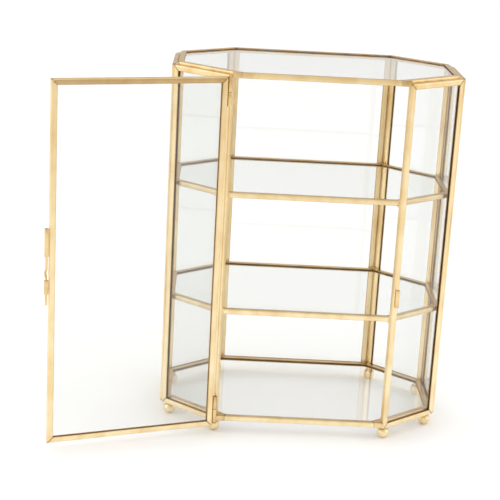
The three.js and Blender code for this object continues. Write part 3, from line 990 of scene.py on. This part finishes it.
def turned(name, centre, profile, material, body, stands_for):
    """A solid of revolution about an upright axis. The profile runs from the axis to the axis."""
    mesh = bpy.data.meshes.new(name)
    bm = bmesh.new()
    rings = []
    for radius, height in profile:
        if radius == 0:
            rings.append([bm.verts.new((centre.x, centre.y, height))])
            continue
        angles = [2 * math.pi * i / TURNED_SIDES for i in range(TURNED_SIDES)]
        rings.append([bm.verts.new((centre.x + radius * math.cos(a),
                                    centre.y + radius * math.sin(a), height)) for a in angles])
    for near, far in zip(rings, rings[1:]):
        for i in range(TURNED_SIDES):
            j = (i + 1) % TURNED_SIDES
            ring = [near[i % len(near)], near[j % len(near)], far[j % len(far)], far[i % len(far)]]
            bm.faces.new(list(dict.fromkeys(ring)))
    bmesh.ops.recalc_face_normals(bm, faces=bm.faces)
    bm.to_mesh(mesh)
    bm.free()
    return finish_piece(name, mesh, material, body, stands_for)


def pin_profile(node, centre):
    """From head to tip, with the edges eased."""
    reach = {}
    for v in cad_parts[node].data.vertices:
        height = round(v.co.z, 5)
        reach[height] = max(reach.get(height, 0), (v.co.xy - centre.xy).length)
    head_radius = max(reach.values())
    wire_radius = min(r for r in reach.values() if r > 0)
    head = sorted(h for h in reach if reach[h] > 0.95 * head_radius)
    tip = max(reach, key=lambda h: abs(h - head[0]))
    outer, inner = (head[1], head[0]) if tip < head[0] else (head[0], head[1])
    way = math.copysign(1, tip - outer)
    return [
        (0, outer), (head_radius - PIN_EASE, outer), (head_radius, outer + way * PIN_EASE),
        (head_radius, inner), (wire_radius, inner), (wire_radius, tip - way * PIN_EASE),
        (wire_radius - PIN_EASE, tip), (0, tip),
    ]


for name in ("upper_hinge_pin", "lower_hinge_pin"):
    centre = middle_of(name)
    turned(name + "_turned", centre, pin_profile(name, centre), TUBE, "cabinet", [name])


def bolt_line():
    low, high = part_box("bolt_wire")
    axis = middle_of("bolt_upper_guide").xy
    points = [v.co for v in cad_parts["bolt_wire"].data.vertices]
    offsets = [p.xy - axis for p in points]
    far = max(range(len(points)), key=lambda i: offsets[i].length)
    end_radius = max(o.length for o, p in zip(offsets, points) if p.z < low.z + BOLT_END_BAND)
    bulge = offsets[far].normalized() * (offsets[far].length - end_radius)
    bent = [p.z for p, o in zip(points, offsets) if o.length > BOLT_BENT_BEYOND * end_radius]
    start, end = min(bent) - BOLT_BEND_EASE, max(bent) + BOLT_BEND_EASE
    line = []
    for i in range(BOLT_STEPS + 1):
        z = low.z + (high.z - low.z) * i / BOLT_STEPS
        share = min(1, max(0, (z - start) / (end - start)))
        lean = bulge * math.sin(math.pi * share) ** 2
        line.append(Vector((axis.x + lean.x, axis.y + lean.y, z)))
    return line, end_radius


bolt_points, bolt_radius = bolt_line()
grow("bolt_wire_bent", BEAD, line_mesh("bolt_line", [bolt_points]), {
    "Radius": bolt_radius, "Swelling": 0.0, "Wander": 0.0, "Step": 0.4 * MM, "Sides": 20,
}, TUBE, "bolt", ["bolt_wire"])
print("bolt wire, mm:", round(bolt_radius * 2 / MM, 2), "across")

# %% [markdown]
# ## Floor and light
# Small polished brass shows the room more than itself. A white floor and a bright horizon give
# brightly lit faces and make the level glass pale, as a studio's white paper does. A dimmer ceiling
# panel is what the upper half of each rounded fold reflects, so the folds read as two tones.

# %% Stage
FLOOR_HALF = 6.0
FLOOR_WHITE = (0.93, 0.93, 0.93, 1)
FLOOR_ROUGHNESS = 0.85
WATTS_PER_BRIGHTNESS = 4.0
BOX_MIDDLE = (0, 0, 0.12)


def make_floor():
    mesh = bpy.data.meshes.new("floor")
    corners = [(-FLOOR_HALF, -FLOOR_HALF), (FLOOR_HALF, -FLOOR_HALF),
               (FLOOR_HALF, FLOOR_HALF), (-FLOOR_HALF, FLOOR_HALF)]
    mesh.from_pydata([(x, y, cad_low.z) for x, y in corners], [], [(0, 1, 2, 3)])
    material, tree, shader = start_material("white_floor")
    shader.inputs["Base Color"].default_value = FLOOR_WHITE
    shader.inputs["Roughness"].default_value = FLOOR_ROUGHNESS
    mesh.materials.append(material)
    floor = bpy.data.objects.new("floor", mesh)
    bpy.context.scene.collection.objects.link(floor)


def make_panel_lamp(name, place, aim, size, brightness):
    """A glowing panel. Its power follows from how bright it looks and how large it is."""
    data = bpy.data.lights.new(name, "AREA")
    data.shape = "RECTANGLE"
    data.size, data.size_y = size
    data.energy = brightness * WATTS_PER_BRIGHTNESS * size[0] * size[1]
    lamp = bpy.data.objects.new(name, data)
    lamp.location = place
    lamp.rotation_euler = (Vector(aim) - Vector(place)).to_track_quat("-Z", "Y").to_euler()
    bpy.context.scene.collection.objects.link(lamp)


def make_room():
    world = bpy.data.worlds.new("room")
    bpy.context.scene.world = world
    world.use_nodes = True
    tree = world.node_tree
    background = tree.nodes["Background"]
    coordinates = tree.nodes.new("ShaderNodeTexCoord")
    height = one_axis(tree, coordinates.outputs["Generated"], "Z")
    shade = colour_band(tree, height, [
        (0.0, (0.84, 0.84, 0.825, 1)),
        (0.36, (0.86, 0.86, 0.84, 1)),
        (0.6, (0.72, 0.72, 0.71, 1)),
        (1.0, (0.72, 0.72, 0.72, 1)),
    ])
    tree.links.new(shade, background.inputs["Color"])
    background.inputs["Strength"].default_value = 1.0


make_floor()
make_room()
make_panel_lamp("ceiling", (0, 0.9, 2.4), (0, 0.9, 0), (7, 7), 0.45)
make_panel_lamp("left_panel", (-2.0, -0.6, 0.9), BOX_MIDDLE, (1.6, 1.4), 0.95)
make_panel_lamp("right_panel", (2.0, -0.2, 0.8), BOX_MIDDLE, (1.2, 1.2), 0.8)
bpy.context.scene.view_settings.view_transform = "Standard"
